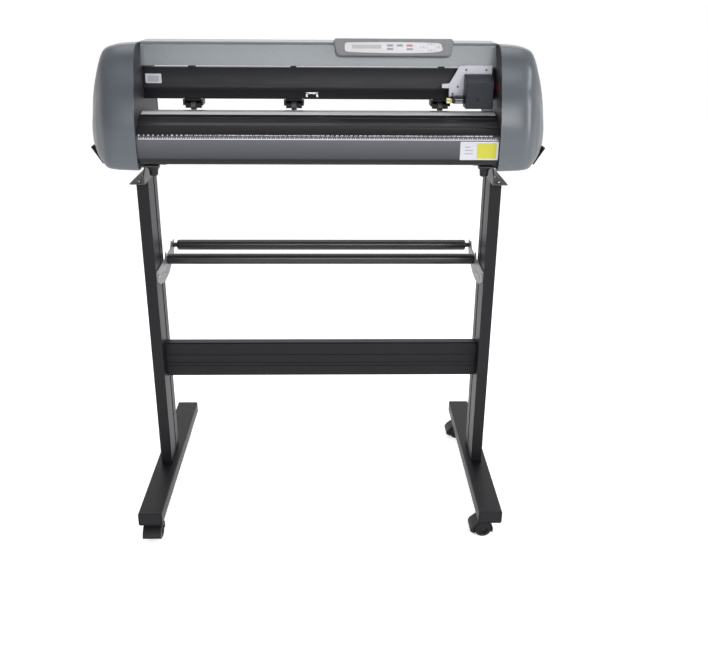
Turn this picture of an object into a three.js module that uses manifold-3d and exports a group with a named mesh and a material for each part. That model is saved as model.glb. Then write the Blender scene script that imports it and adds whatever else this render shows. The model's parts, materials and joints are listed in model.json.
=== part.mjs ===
// Vinyl cutter on a wheeled stand.
// Millimetres, +Z up. Origin on the floor, midway between the feet. The operator stands at -Y.
import * as THREE from 'three';
import * as BufferGeometryUtils from 'three/addons/utils/BufferGeometryUtils.js';
import Module from 'manifold-3d';

const wasm = await Module();
wasm.setup();

// ---- driving dimensions ---------------------------------------------------------------------

const GAP = 0.3;                    // air kept between pieces that touch

const FOOT = { x: 401, width: 56, height: 33, length: 568, bottom: 53, radius: 4, wall: 2 };
const FOOT_TOP = FOOT.bottom + FOOT.height;
const GROOVE = { wide: 3, deep: 1.5 };                         // shallow grooves of the extrusions
const POST = { x: 401, front: -58, top: 824, thick: 27, deep: 100, wall: 2.5, groove: 62 };
const CROSSBAR = {
  bottom: 322, front: -27, thick: 25, deep: 88, wall: 2.5, grooves: [27, 36, 57], chamfer: 3,
};
const POST_INNER = POST.x - POST.thick / 2;                    // inner face of a post
const CASTER = { front: -245, rear: 230, wheelRadius: 22, wheelWidth: 19, web: 4, trail: 11, hoodRadius: 24 };

const MACHINE = { seat: 866 };                                 // underside that rests on the stand
const BETWEEN = 387;                                           // half the clear width of the machine
const COVER = { front: -148, rear: 120, low: 861, high: 1118, wall: 3 };
const PLATE = { thick: 3, inset: 0.4 };
const PLATE_INNER = BETWEEN + 1;                               // inner face of a side plate
const SPAN = PLATE_INNER - GAP;                                // half length of what fits between

const BEAM = { front: -20, rear: 8, bottom: 998, top: 1065, wall: 3 };
const RAIL = { bottom: 1014, top: 1029, proud: 2, slope: 4 };  // guide rail on the beam's front
const PLATEN = { top: 976, thick: 3 };
const STRIP = { front: -58, rear: -42, thick: 1.5 };           // cutting strip let into the platen
const SHAFT = { y: -15, radius: 8, core: 5, top: 973.2, drop: 3.2 };      // grit shaft under the rollers
const SHAFT_Z = SHAFT.top - SHAFT.radius;
const DRUM = { half: 82, pitch: 190 };                         // gritted lengths of the shaft
const DRUMS = [-1.5, -0.5, 0.5, 1.5].map((k) => k * DRUM.pitch);
const APRON = { front: -141, top: 936, bottom: 873.5, curl: 15, thick: 1.5 };
const PAN = { rear: 112, low: 871, high: 926, thick: 1.5 };
const TOP_COVER = { front: -35, rear: 58, lip: 1070, top: 1119, thick: 2 };

const CONSOLE = { x: 162, width: 262, depth: 46, thick: 25, tilt: 48, y: -38.6, z: 1110.1, low: 1093.4 };
const OVERLAY = { width: 218, depth: 33, thick: 1, corner: 13.7 };
const KEY = { width: 13, depth: 4.6, height: 1.4, gap: 0.4 };

const CARRIAGE = {
  left: 286, right: 379, tip: 270, plateY: -35, plateThick: 2.5,
  cover: { left: 318, right: 378, front: -80, low: 986, high: 1056 },
  knife: { x: 304, y: -51, z: 1000, bore: 5.2 },
};
const PINCH = [
  { name: 'left', x: -280.5 },
  { name: 'middle', x: -57 },
  { name: 'right', x: 270 },
];
const PINCH_WIDTH = 44;
const ROLLER = { radius: 8.5, width: 12, y: -15, z: 982 };
const PIVOT = { y: 3, z: 989.5, radius: 2 };

const BRACKET = { thick: 3, outward: 17, inward: 36, front: -106, rear: 60 };
const ROLL_PLATE = { thick: 3, bolt: 2.8 };
const ROLL_BOLTS = [[-39, 590], [22, 576]];                    // (Y, Z) of the plate's bolts
const ROD = { radius: 13.5, neck: 5.9, frontY: 78, frontZ: 595, rearY: 160, rearZ: 607 };
const INLET = { x: 330, z: 899, wall: PAN.rear };              // on the pan's rear wall
const ROCKER_TILT = -7;                                        // switch shown off
const HANDLE = {
  length: 124, thick: 3.5, height: 44, standoff: 22, x: 488.5, y: -12, z: 884, lean: 32, post: [10, 14],
};

const COLOUR = {
  cover: 0x717177, topCover: 0x7b838a, darkCover: 0x55565c, black: 0x26262b, stand: 0x3a3a3e,
  zinc: 0x8b8b90, rod: 0x202023, silver: 0xcfcfd6, platen: 0x38373b, apron: 0x66646b,
  console: 0x87878a, overlay: 0xdedede, key: 0xc9c9cc, navy: 0x33373f, cream: 0xd8cf9c,
  steel: 0xb4b4b8, rubber: 0x161617, strip: 0xe6e6e2,
};

// ---- geometry helpers -----------------------------------------------------------------------

function toSolid(geometry) {
  const bare = geometry.clone();
  bare.deleteAttribute('normal');
  bare.deleteAttribute('uv');
  const merged = BufferGeometryUtils.mergeVertices(bare, 1e-4);
  return new wasm.Manifold(new wasm.Mesh({
    numProp: 3,
    vertProperties: new Float32Array(merged.attributes.position.array),
    triVerts: new Uint32Array(merged.index.array),
  }));
}

function fromSolid(solid) {
  const mesh = solid.getMesh();
  const geometry = new THREE.BufferGeometry();
  geometry.setAttribute('position', new THREE.BufferAttribute(mesh.vertProperties, 3));
  geometry.setIndex(new THREE.BufferAttribute(mesh.triVerts, 1));
  return geometry;
}

function cut(base, ...tools) {
  let solid = toSolid(base);
  for (const tool of tools) solid = solid.subtract(toSolid(tool));
  return fromSolid(solid);
}

function join(first, ...others) {
  let solid = toSolid(first);
  for (const other of others) solid = solid.add(toSolid(other));
  return fromSolid(solid);
}

function box(low, high) {
  const size = high.map((value, i) => value - low[i]);
  return new THREE.BoxGeometry(...size)
    .translate(...low.map((value, i) => (value + high[i]) / 2));
}

function shapeOf(points, holes = []) {
  const shape = new THREE.Shape(points.map(([a, b]) => new THREE.Vector2(a, b)));
  for (const hole of holes) shape.holes.push(new THREE.Path(hole.map(([a, b]) => new THREE.Vector2(a, b))));
  return shape;
}

function roundedRect(width, height, radius) {
  const [a, b] = [width / 2, height / 2];
  const shape = new THREE.Shape();
  shape.moveTo(-a + radius, -b);
  shape.lineTo(a - radius, -b);
  shape.absarc(a - radius, -b + radius, radius, -Math.PI / 2, 0);
  shape.lineTo(a, b - radius);
  shape.absarc(a - radius, b - radius, radius, 0, Math.PI / 2);
  shape.lineTo(-a + radius, b);
  shape.absarc(-a + radius, b - radius, radius, Math.PI / 2, Math.PI);
  shape.lineTo(-a, -b + radius);
  shape.absarc(-a + radius, -b + radius, radius, Math.PI, 1.5 * Math.PI);
  return shape;
}

// An outline in (Y, Z) swept along X, in (X, Z) swept along Y, or in (X, Y) swept along Z.
function sweep(shape, axis, from, to, curveSegments = 3) {
  const geometry = new THREE.ExtrudeGeometry(shape, { depth: to - from, bevelEnabled: false, curveSegments });
  if (axis === 'x') {
    geometry.applyMatrix4(new THREE.Matrix4().set(0, 0, 1, from, 1, 0, 0, 0, 0, 1, 0, 0, 0, 0, 0, 1));
  } else if (axis === 'y') {
    geometry.rotateX(Math.PI / 2).translate(0, to, 0);
  } else {
    geometry.translate(0, 0, from);
  }
  return geometry;
}

// A solid of revolution about X from (x, radius) points that start and end on the axis.
function turned(points, segments = 16) {
  const profile = points.map(([x, r]) => new THREE.Vector2(r, x));
  return new THREE.LatheGeometry(profile, segments).rotateZ(-Math.PI / 2);
}

function rodX(radius, from, to, segments = 16) {
  return turned([[from, 0], [from, radius], [to, radius], [to, 0]], segments);
}

function arcPoints(cy, cz, radius, fromDeg, toDeg, steps) {
  return Array.from({ length: steps + 1 }, (_, i) => {
    const angle = THREE.MathUtils.degToRad(fromDeg + (toDeg - fromDeg) * i / steps);
    return [cy + radius * Math.cos(angle), cz + radius * Math.sin(angle)];
  });
}

// A thin sheet that follows an open line, thickened to its right-hand side.
function sheetOutline(line, thick) {
  const offset = line.map((point, i) => {
    const before = line[Math.max(i - 1, 0)];
    const after = line[Math.min(i + 1, line.length - 1)];
    const [da, db] = [after[0] - before[0], after[1] - before[1]];
    const length = Math.hypot(da, db);
    return [point[0] + thick * db / length, point[1] - thick * da / length];
  });
  return [...line, ...offset.reverse()];
}

const model = new THREE.Group();

function part(name, geometry, colour, roughness = 0.6, metalness = 0, parent = model) {
  const material = new THREE.MeshStandardMaterial({ color: colour, roughness, metalness });
  const mesh = new THREE.Mesh(geometry, material);
  mesh.name = name;
  parent.add(mesh);
  return mesh;
}

// ---- stand ----------------------------------------------------------------------------------

function makeFoot(name, side) {
  const skin = roundedRect(FOOT.width, FOOT.height, FOOT.radius);
  const { width, height, radius, wall } = FOOT;
  skin.holes.push(roundedRect(width - 2 * wall, height - 2 * wall, radius - wall));
  const foot = part(name, sweep(skin, 'y', -FOOT.length / 2, FOOT.length / 2), COLOUR.stand, 0.55, 0.6);
  foot.position.set(side * FOOT.x, 0, FOOT.bottom + FOOT.height / 2);
}

// Hollow extrusion as (thickness, depth) from one corner, with grooves across its far broad face.
function profileShape({ thick, deep, wall }, grooves, chamfer = 0) {
  const outline = [[0, 0], [thick, 0]];
  for (const [at, width] of grooves) {
    outline.push([thick, at - width / 2], [thick - GROOVE.deep, at - width / 2],
      [thick - GROOVE.deep, at + width / 2], [thick, at + width / 2]);
  }
  if (chamfer > 0) outline.push([thick, deep - chamfer], [thick - chamfer, deep], [0, deep]);
  else outline.push([thick, deep], [0, deep]);
  const far = thick - wall - GROOVE.deep;
  const top = deep - wall - chamfer;
  return shapeOf(outline, [[[wall, wall], [wall, top], [far, top], [far, wall]]]);
}

function makePost(name, side) {
  const shape = profileShape(POST, [[POST.groove, 4 * GROOVE.wide]]);
  const geometry = sweep(shape, 'z', FOOT_TOP + GAP, POST.top - GAP);
  geometry.translate(-POST.thick / 2, POST.front, 0);
  const post = part(name, side < 0 ? geometry : mirrorX(geometry), COLOUR.stand, 0.5, 0.6);
  post.position.x = side * POST.x;
}

function mirrorX(geometry) {
  const mirrored = geometry.index ? geometry.toNonIndexed() : geometry.clone();
  const position = mirrored.attributes.position;
  for (let i = 0; i < position.count; i += 3) {
    const [a, b, c] = [0, 1, 2].map((k) => new THREE.Vector3().fromBufferAttribute(position, i + k));
    [a, c, b].forEach((v, k) => position.setXYZ(i + k, -v.x, v.y, v.z));
  }
  return mirrored;
}

// The grooved face of the crossbar looks forward: its thickness runs along Y and its depth along Z.
function makeCrossbar() {
  const { thick, front, bottom, grooves, chamfer } = CROSSBAR;
  const reach = POST_INNER - GAP;
  const shape = profileShape(CROSSBAR, grooves.map((at) => [at, GROOVE.wide]), chamfer);
  const geometry = sweep(shape, 'z', -reach, reach);
  geometry.applyMatrix4(new THREE.Matrix4().set(0, 0, -1, 0, -1, 0, 0, thick, 0, 1, 0, 0, 0, 0, 0, 1));
  part('crossbar', geometry, COLOUR.stand, 0.45, 0.6).position.set(0, front, bottom);
}

// Z-shaped angle that stands on a post and carries the machine on its inward flange.
function makeTopBracket(name, side) {
  const { thick, outward, inward, front, rear } = BRACKET;
  const [low, high] = [POST.top, MACHINE.seat - GAP];
  const [outer, inner, tip] = [POST.x + outward, POST_INNER, POST_INNER - inward];
  const section = shapeOf([[outer, low], [inner - thick, low], [inner - thick, high - thick],
    [tip, high - thick], [tip, high], [inner, high], [inner, low + thick], [outer, low + thick]]);
  const notch = sweep(shapeOf([[front - 1, low + thick + 16], [front - 1, high - thick - 1],
    [front + 22, high - thick - 1]]), 'x', tip - 1, inner + 1);
  const geometry = cut(sweep(section, 'y', front, rear), notch);
  part(name, side > 0 ? geometry : mirrorX(geometry), COLOUR.stand, 0.45, 0.6);
}

// Flat plate bolted to a post's inner face, with an open fork for each rod.
function makeRollBracket(name, side) {
  const { frontY, frontZ, rearY, rearZ } = ROD;
  const slot = ROD.neck + 0.8;
  const fork = (y, z) => [[y - slot, z], ...arcPoints(y, z, slot, 180, 360, 6).slice(1, -1), [y + slot, z]];
  const plate = shapeOf([
    [-56, 578], [-56, 606], [8, 606], [52, 604], [frontY - slot - 6, 616], [frontY - slot - 2, 604],
    ...fork(frontY, frontZ),
    [frontY + slot + 2, 606], [128, 606], [rearY - slot - 8, 622], [rearY - slot - 1, 616],
    ...fork(rearY, rearZ),
    [rearY + slot + 1, 616], [rearY + slot + 7, 618],
    [rearY + 15, 598], [rearY + 4, 584], [118, 566], [84, 556], [34, 553], [-20, 562],
  ]);
  const face = POST_INNER - GAP;
  const bolts = ROLL_BOLTS.map(([y, z]) => rodX(ROLL_PLATE.bolt, face - 6, face + 3, 10).translate(0, y, z));
  const geometry = cut(sweep(plate, 'x', face - ROLL_PLATE.thick, face), ...bolts);
  part(name, side > 0 ? geometry : mirrorX(geometry), COLOUR.zinc, 0.5, 0.7);
}

// Free-turning rods that carry the roll of material; their thin ends lie in the forks.
function makeRod(name, y, z) {
  const { radius, neck } = ROD;
  const body = POST_INNER - GAP - ROLL_PLATE.thick - 1;
  const end = POST_INNER - 2 * GAP;
  const rod = turned([[-end, 0], [-end, neck], [-body, neck], [-body, radius - 1], [-body + 1, radius],
    [body - 1, radius], [body, radius - 1], [body, neck], [end, neck], [end, 0]]);
  part(name, rod, COLOUR.rod, 0.35, 0.6).position.set(0, y, z);
}

// Hood of a twin-wheel castor: a web between the wheels, a shell over them and a round stem.
function casterHood() {
  const { trail, wheelRadius, hoodRadius, wheelWidth, web } = CASTER;
  const [tyre, width] = [wheelRadius + 0.8, web + 2 * wheelWidth + 1];
  const shell = arcPoints(trail, wheelRadius, hoodRadius, 200, 45, 9);
  const outline = shapeOf([...shell, [38, 30], [42, 23], [42, 17], [22, 4]]);
  const aroundAxle = (radius, from, to) => rodX(radius, from, to, 20).translate(0, trail, wheelRadius);
  const neck = 40;
  const stem = new THREE.CylinderGeometry(9, 11, FOOT.bottom - GAP - neck, 14).rotateX(Math.PI / 2)
    .translate(0, 0, (FOOT.bottom - GAP + neck) / 2);
  const bays = [aroundAxle(tyre, web / 2, width), aroundAxle(tyre, -width, -web / 2)];
  const axleHole = aroundAxle(3.4, -width, width);
  const underside = box([-width, -20, -20], [width, 60, 4]);
  const hood = cut(sweep(outline, 'x', -width / 2, width / 2), ...bays, axleHole, underside);
  return join(hood, cut(stem, aroundAxle(tyre, -width, width)));
}

function casterWheels() {
  const { wheelRadius: r, wheelWidth, web } = CASTER;
  const [near, far] = [web / 2 + 0.5, web / 2 + 0.5 + wheelWidth];
  const half = [[far, 0], [far, r - 9], [far - 1.5, r - 5], [far - 3, r - 1.5], [far - 6, r], [near, r],
    [near, 3]];
  const mirrored = half.map(([x, radius]) => [-x, radius]).reverse();
  return turned([...half, ...mirrored], 24).scale(-1, 1, 1);
}

function makeCaster(place, x, y, swivelDeg) {
  const caster = new THREE.Group();
  caster.position.set(x, y, 0);
  caster.rotation.z = THREE.MathUtils.degToRad(swivelDeg);
  model.add(caster);
  part(`caster_hood_${place}`, casterHood(), COLOUR.black, 0.5, 0, caster);
  const wheels = part(`caster_wheels_${place}`, casterWheels(), COLOUR.rubber, 0.6, 0, caster);
  wheels.position.set(0, CASTER.trail, CASTER.wheelRadius);
}

// ---- end covers -----------------------------------------------------------------------------

// Front edge of a cover seen from the side, top to bottom, as (Y, Z), and then its rear edge.
const COVER_FRONT = [[-58, COVER.high], [-76, 1113], [-93, 1100], [-105, 1082], [-118, 1042], [-131, 1014],
  [-141, 982], [-147, 950], [COVER.front, 905], [-146, 874], [-139, 863.5], [-128, COVER.low],
  [-112, COVER.low], [-109, MACHINE.seat]];
const COVER_BACK = [[108, MACHINE.seat], [COVER.rear, 880], [COVER.rear, 1000], [114, 1066], [102, 1090],
  [84, 1104], [52, 1111], [12, 1115.5], [-24, COVER.high]];

// Stations along a cover's width: how far its top, bottom and front have drawn in at each X.
const COVER_STATIONS = [
  { x: BETWEEN, top: 0, bottom: 0, front: 0 },
  { x: 420, top: 2, bottom: 0.5, front: 1 },
  { x: 439, top: 5, bottom: 1.5, front: 3 },
  { x: 452, top: 10, bottom: 3, front: 8 },
  { x: 460, top: 17, bottom: 6, front: 15 },
  { x: 468, top: 32, bottom: 13, front: 25 },
  { x: 477, top: 57, bottom: 22, front: 37 },
  { x: 485.5, top: 84, bottom: 32, front: 53 },
  { x: 491.5, top: 111, bottom: 42, front: 66 },
  { x: 495.5, top: 134, bottom: 51, front: 77 },
  { x: 498, top: 155, bottom: 62, front: 92 },
];

function coverRing(station, inset) {
  const { front, rear, low, high } = COVER;
  const middleY = (front + rear) / 2;
  const scaleY = ((rear - front) / 2 - station.front - inset) / ((rear - front) / 2);
  const [newLow, newHigh] = [low + station.bottom + inset, high - station.top - inset];
  return [...COVER_FRONT, ...COVER_BACK].map(([y, z]) => [
    middleY + (y - middleY) * scaleY,
    newLow + (z - low) * (newHigh - newLow) / (high - low),
  ]);
}

// Skin over rings that share a point count: rings of (Y, Z) at rising X, capped flat at both ends.
function loft(rings) {
  const count = rings[0].points.length;
  const positions = rings.flatMap(({ x, points }) => points.flatMap(([y, z]) => [x, y, z]));
  const indices = [];
  for (let k = 0; k + 1 < rings.length; k += 1) {
    for (let i = 0; i < count; i += 1) {
      const [a, b] = [k * count + i, k * count + (i + 1) % count];
      indices.push(a, b, b + count, a, b + count, a + count);
    }
  }
  const contour = rings[0].points.map(([y, z]) => new THREE.Vector2(y, z));
  const faces = THREE.ShapeUtils.triangulateShape(contour, []);
  const last = (rings.length - 1) * count;
  for (const [a, b, c] of faces) {
    indices.push(a, c, b, last + a, last + b, last + c);
  }
  const geometry = new THREE.BufferGeometry();
  geometry.setAttribute('position', new THREE.BufferAttribute(new Float32Array(positions), 3));
  geometry.setIndex(indices);
  return geometry;
}

function coverShell() {
  const outer = loft(COVER_STATIONS.map((s) => ({ x: s.x, points: coverRing(s, 0) })));
  const inner = loft(COVER_STATIONS.map((s, i) => ({
    x: i === 0 ? s.x - 1 : s.x - COVER.wall, points: coverRing(s, COVER.wall),
  })));
  return cut(outer, inner);
}

function makeCover(name, side) {
  const shell = coverShell();
  part(name, side > 0 ? shell : mirrorX(shell), COLOUR.cover, 0.45, 0);
}

// Steel side plate let into the open side of a cover; beam, platen and shaft run between the two.
function makeSidePlate(name, side) {
  const outline = coverRing(COVER_STATIONS[0], COVER.wall + 2 * PLATE.inset);
  const shaftHole = arcPoints(SHAFT.y, SHAFT_Z, SHAFT.radius + 1, 0, 330, 11);
  const sheet = sweep(shapeOf(outline, [shaftHole]), 'x', PLATE_INNER, PLATE_INNER + PLATE.thick);
  const floor = MACHINE.seat + COVER.wall + 2 * PLATE.inset;
  const skirt = box([0, -2 * COVER.rear, 0], [2 * PLATE_INNER, 2 * COVER.rear, floor]);
  const geometry = cut(sheet, skirt);
  part(name, side > 0 ? geometry : mirrorX(geometry), COLOUR.darkCover, 0.6, 0.3);
}

// Thin grab plate that follows the lower outer edge of a cover on two short posts.
function makeHandle(name, side) {
  const { length, thick, height, standoff, x, y, z, lean, post: [wide, tall] } = HANDLE;
  const bar = box([0, -length / 2, -height / 2], [thick, length / 2, height / 2]);
  const posts = [-1, 1].map((end) => end * (length / 2 - wide)).map((middle) => (
    box([-standoff, middle - wide / 2, -tall / 2], [1, middle + wide / 2, tall / 2])));
  const geometry = join(bar, ...posts);
  geometry.rotateY(THREE.MathUtils.degToRad(lean)).translate(x, y, z);
  const skin = toSolid(loft(COVER_STATIONS.map((s) => ({ x: s.x, points: coverRing(s, -GAP) }))));
  const clear = fromSolid(toSolid(geometry).subtract(skin));
  part(name, side > 0 ? clear : mirrorX(clear), COLOUR.black, 0.6, 0);
}

// ---- body between the covers ----------------------------------------------------------------

// Front face and front top edge of the top cover as (Y, Z), from its lower lip upwards.
const TOP_COVER_FRONT = [[TOP_COVER.front, TOP_COVER.lip], [TOP_COVER.front + 8, TOP_COVER.top - 9],
  ...arcPoints(TOP_COVER.front + 16, TOP_COVER.top - 8, 8, 170, 90, 4)];

function makeTopCover() {
  const { rear, top, thick } = TOP_COVER;
  const rearCorner = arcPoints(rear - 8, top - 8, 8, 80, 0, 4);
  const line = [...TOP_COVER_FRONT, [rear - 8, top], ...rearCorner, [rear, top - 34]];
  const sheet = sweep(shapeOf(sheetOutline(line, thick).reverse()), 'x', -BETWEEN + GAP, BETWEEN - GAP);
  part('top_cover', sheet, COLOUR.topCover, 0.4, 0.2);
}

function makeBeam() {
  const { front, rear, bottom, top, wall } = BEAM;
  const outer = [[front, bottom], [rear, bottom], [rear, top], [front, top],
    [front, RAIL.top], [front - RAIL.proud, RAIL.top - RAIL.slope],
    [front - RAIL.proud, RAIL.bottom + RAIL.slope], [front, RAIL.bottom]];
  const hollow = [[front + wall, bottom + wall], [front + wall, top - wall], [rear - wall, top - wall],
    [rear - wall, bottom + wall]];
  part('guide_beam', sweep(shapeOf(outer, [hollow]), 'x', -SPAN, SPAN), COLOUR.black, 0.35, 0.6);
}

// Curved table: high at the cutting line, falling to both sides, ribbed towards the front.
const PLATEN_RIBS = [[-118, 954], [-106, 961], [-92, 967]];
const PLATEN_LINE = [[-133, 930], [-133, 939], [-128, 946], ...PLATEN_RIBS, [-76, 971.5],
  [STRIP.front - 1, 975.5], [STRIP.front - 1, PLATEN.top], [STRIP.rear + 1, PLATEN.top],
  [-32, 973.4], [SHAFT.y, 972.4], [0, 971], [30, 966], [60, 957], [90, 944], [112, 930]];

// The shaft runs in a channel under the table and shows through four long windows.
function shaftChannel() {
  const radius = SHAFT.radius + 0.8;
  const end = 2 * BETWEEN;
  const bore = (drop) => toSolid(rodX(radius, -end, end).translate(0, SHAFT.y, SHAFT_Z - drop));
  const [half, reach] = [DRUM.half + 2, 20];
  const windows = DRUMS.map((x) => bore(0).intersect(toSolid(
    box([x - half, SHAFT.y - reach, SHAFT_Z - reach], [x + half, SHAFT.y + reach, SHAFT_Z + reach]))));
  return windows.reduce((all, window) => all.add(window), bore(SHAFT.drop));
}

function makePlaten() {
  const body = sweep(shapeOf(sheetOutline(PLATEN_LINE, PLATEN.thick).reverse()), 'x', -SPAN, SPAN);
  const ribs = PLATEN_RIBS.map(([y, z]) => box([-SPAN, y - 1.5, z - 1.2], [SPAN, y + 1.5, z + 1]));
  const recess = box([-SPAN - 1, STRIP.front - GAP, PLATEN.top - STRIP.thick],
    [SPAN + 1, STRIP.rear + GAP, PLATEN.top + 5]);
  const table = cut(join(body, ...ribs), recess);
  part('platen', fromSolid(toSolid(table).subtract(shaftChannel())), COLOUR.platen, 0.4, 0.5);
  const stripTop = PLATEN.top + GAP;
  const strip = box([-SPAN, STRIP.front, stripTop - STRIP.thick], [SPAN, STRIP.rear, stripTop]);
  part('cutting_strip', strip, COLOUR.strip, 0.4, 0);
}

function makeApron() {
  const { front, top, bottom, curl, thick } = APRON;
  const line = [[STRIP.front - 2, bottom], ...arcPoints(front + curl, bottom + curl, curl, 270, 180, 5),
    [front, top - 7], [front + 6.2, top]];
  const sheet = sweep(shapeOf(sheetOutline(line, thick).reverse()), 'x', -SPAN, SPAN);
  part('front_apron', sheet, COLOUR.apron, 0.45, 0.3);
}

// Floor of the machine, turned up behind to meet the table's rear edge.
function makeBasePan() {
  const { rear, low, high, thick } = PAN;
  const line = [[rear, high], [rear, low + 6], [rear - 6, low], [STRIP.front - 1, low]];
  const pan = sweep(shapeOf(sheetOutline(line, thick).reverse()), 'x', -SPAN, SPAN);
  part('base_pan', cut(pan, inletOpening()), COLOUR.darkCover, 0.6, 0.4);
}

// Grit shaft with four knurled drums, carried past both side plates.
function makeDriveShaft() {
  const end = PLATE_INNER + PLATE.thick + 18;
  const drums = DRUMS.map((x) => [x - DRUM.half, x + DRUM.half]).flatMap(([from, to]) => [
    [from, SHAFT.core], [from, SHAFT.radius], [to, SHAFT.radius], [to, SHAFT.core]]);
  const points = [[-end, 0], [-end, SHAFT.core], ...drums, [end, SHAFT.core], [end, 0]];
  part('drive_shaft', turned(points, 20), COLOUR.steel, 0.5, 0.8).position.set(0, SHAFT.y, SHAFT_Z);
}

// ---- console --------------------------------------------------------------------------------

const consoleGroup = new THREE.Group();
consoleGroup.position.set(CONSOLE.x, CONSOLE.y, CONSOLE.z);
consoleGroup.rotation.x = THREE.MathUtils.degToRad(CONSOLE.tilt);

// Solid space taken by the top cover, for the console to sit on.
function topCoverBlock() {
  const { front, rear, lip, top } = TOP_COVER;
  const line = [[front, lip - 40], ...TOP_COVER_FRONT, [rear, top], [rear, lip - 40]];
  return sweep(shapeOf(line.reverse()), 'x', -CONSOLE.width, CONSOLE.width);
}

function makeConsoleHousing() {
  const { width, depth, thick, low } = CONSOLE;
  const [a, b] = [width / 2, depth / 2];
  const outline = shapeOf([[-a + 14, -b], [a - 14, -b], [a - 8, -b + 5], [a, b - 6], [a - 5, b], [-a + 5, b],
    [-a, b - 6], [-a + 8, -b + 5]]);
  const slab = sweep(outline, 'z', -thick, 0);
  const bed = roundedRect(OVERLAY.width + 2 * GAP, OVERLAY.depth + 2 * GAP, OVERLAY.corner + GAP);
  const recess = sweep(bed, 'z', -OVERLAY.thick - 1.8, 2);
  const lean = THREE.MathUtils.degToRad(CONSOLE.tilt);
  const saddle = topCoverBlock().translate(0, -CONSOLE.y - GAP, -CONSOLE.z + GAP).rotateX(-lean);
  const under = box([-width, -width, -width], [width, width, low]).translate(0, 0, -CONSOLE.z).rotateX(-lean);
  part('console_housing', cut(slab, recess, saddle, under), COLOUR.console, 0.5, 0, consoleGroup);
}

// Function keys in two rows and four direction keys in a diamond, as (column, row) in the face.
const KEYS = [
  { name: 'key_a', x: -8, y: 5 }, { name: 'key_b', x: 13, y: 5 }, { name: 'key_c', x: 34, y: 5 },
  { name: 'key_d', x: -8, y: -4.5 }, { name: 'key_e', x: 34, y: -4.5 },
  { name: 'jog_left', x: 64, y: 1 }, { name: 'jog_right', x: 98, y: 1 },
  { name: 'jog_up', x: 81, y: 9 }, { name: 'jog_down', x: 81, y: -7 },
];

function makeOverlay() {
  const film = sweep(roundedRect(OVERLAY.width, OVERLAY.depth, OVERLAY.corner), 'z', -OVERLAY.thick, 0, 5);
  const windows = KEYS.map(({ x, y }) => box([x - KEY.width / 2 - KEY.gap, y - KEY.depth / 2 - KEY.gap, -9],
    [x + KEY.width / 2 + KEY.gap, y + KEY.depth / 2 + KEY.gap, 9]));
  part('console_overlay', cut(film, ...windows), COLOUR.overlay, 0.5, 0, consoleGroup);
}

function makeKeys() {
  for (const { name, x, y } of KEYS) {
    const cap = sweep(roundedRect(KEY.width, KEY.depth, 1.6), 'z', -KEY.height + 0.4, 0.4, 2);
    part(name, cap, COLOUR.key, 0.6, 0, consoleGroup).position.set(x, y, 0);
  }
}

// ---- carriage -------------------------------------------------------------------------------

// Plate that slides along the beam, and the cover over its motor and solenoid.
function makeCarriage() {
  const { left, right, plateY, plateThick, tip, cover, knife } = CARRIAGE;
  const face = shapeOf([[left, 1007], [right, 1007], [right, 1073], [308, 1073], [left, 1035], [tip, 1034],
    [tip, 1025], [left, 1025]]);
  const plate = sweep(face, 'y', plateY - plateThick, plateY);
  const shoe = box([300, plateY - 0.5, RAIL.bottom + 2], [372, BEAM.front - RAIL.proud - GAP, RAIL.top + 6]);
  part('carriage_plate', join(plate, shoe), COLOUR.silver, 0.35, 0.8);

  const near = plateY - plateThick - GAP;
  const side = shapeOf([[cover.front, cover.low], [near, cover.low], [near, cover.high],
    [near - 12, cover.high - 2], [cover.front, cover.high - 15]]);
  part('carriage_cover', sweep(side, 'x', cover.left, cover.right), COLOUR.navy, 0.45, 0);

  const clamp = box([knife.x - 12, knife.y - 11, knife.z - 5], [cover.left - 2 * GAP, near, knife.z + 10]);
  const bore = new THREE.CylinderGeometry(knife.bore, knife.bore, 40, 16).rotateX(Math.PI / 2)
    .translate(knife.x, knife.y, knife.z);
  part('tool_holder', cut(clamp, bore), COLOUR.black, 0.5, 0.2);
  const end = knife.x - 12 - 0.4;
  const knob = turned([[end - 12.6, 0], [end - 12.6, 4.5], [end - 11.6, 6], [end - 3.1, 6],
    [end - 2.1, 5], [end, 5], [end, 0]], 14);
  part('blade_clamp_knob', knob, COLOUR.cream, 0.5, 0.2).position.set(0, knife.y, knife.z);
}

// ---- pinch rollers --------------------------------------------------------------------------

// Housing under the beam, open below and in front, with a hook over the beam that it slides on.
function pinchBracket() {
  const [half, { front, rear, bottom, top }, low] = [PINCH_WIDTH / 2, BEAM, 984];
  const hook = shapeOf([[rear + GAP, low + 8], [rear + GAP, top + GAP], [front - 2, top + GAP],
    [front - 2, top + 3.5], [rear + 4, top + 3.5], [rear + 4, low], [rear - 1, low],
    [rear - 1, low + 8]].reverse());
  const spine = cut(sweep(hook, 'x', -6, 6), box([-7, -40, 0], [7, rear + 0.1, bottom - GAP]));
  const hood = shapeOf([[front - 4, bottom - 14], [front - 4, bottom - GAP], [rear + 4, bottom - GAP],
    [rear + 4, low], [PIVOT.y - 6, low], [-8, bottom - 14]].reverse());
  const bay = box([-half + 4, -40, 960], [half - 4, rear + 0.5, bottom - 3.3]);
  const pin = rodX(PIVOT.radius, -half + 2, half - 2, 10).translate(0, PIVOT.y, PIVOT.z);
  return join(cut(sweep(hood, 'x', -half, half), bay), spine, pin);
}

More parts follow.
